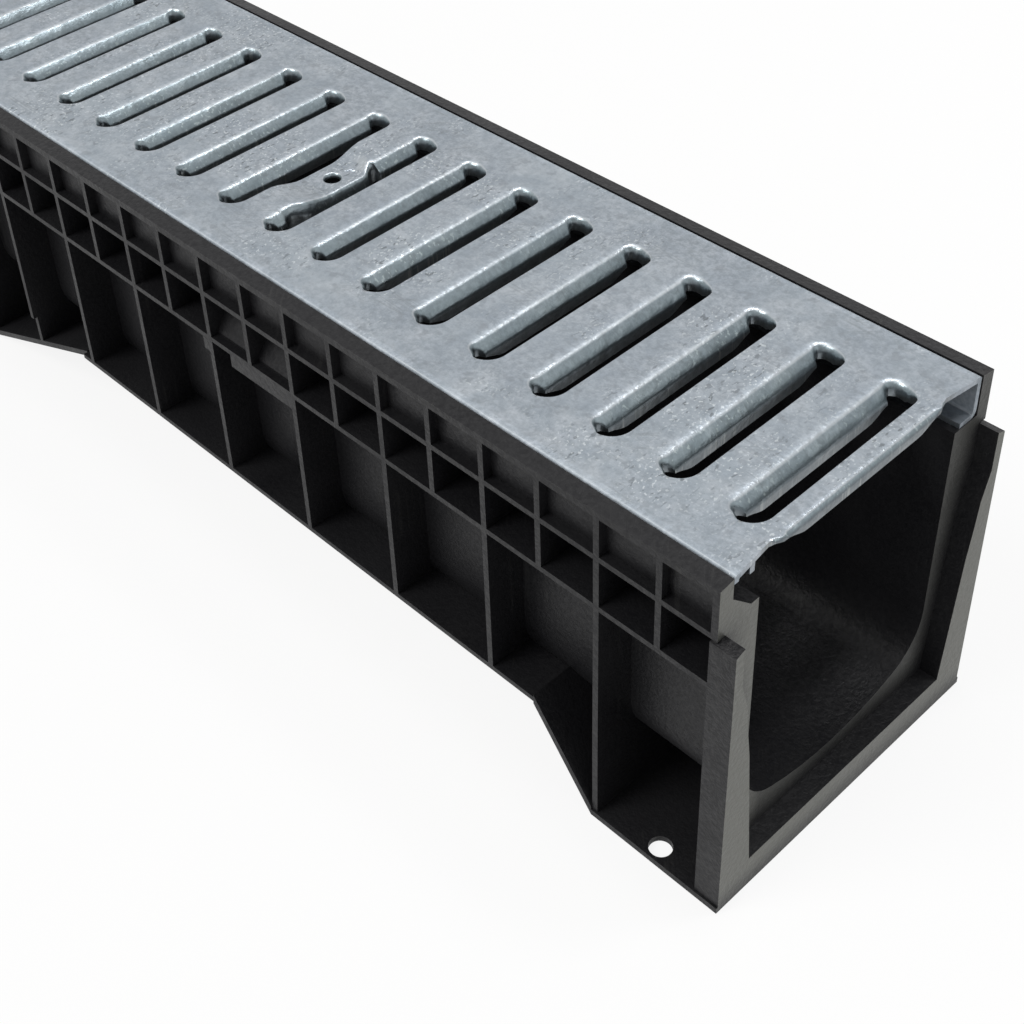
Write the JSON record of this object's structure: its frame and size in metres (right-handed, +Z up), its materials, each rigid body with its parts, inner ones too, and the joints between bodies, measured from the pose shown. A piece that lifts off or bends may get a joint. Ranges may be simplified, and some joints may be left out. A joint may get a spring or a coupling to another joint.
{
  "type": "channel drain",
  "caption": "Moulded linear drainage channel with ribbed sides, feet, a socket end and pressed slotted grates resting in its rim.",
  "frame": {"origin": "centre of the bounding box in plan, on the floor plane under the feet", "axes": "+X along the channel toward the socket collar, +Z up, Y across the channel"},
  "size_m": [1.0074, 0.138, 0.147],
  "materials": {
    "channel_plastic": "matte",
    "grate_zinc": "galvanised, lightly scratched"
  },
  "bodies": {
    "root": {"channel_body": "channel_plastic", "grate_1": "grate_zinc", "grate_2": "grate_zinc"}
  },
  "joints": []
}
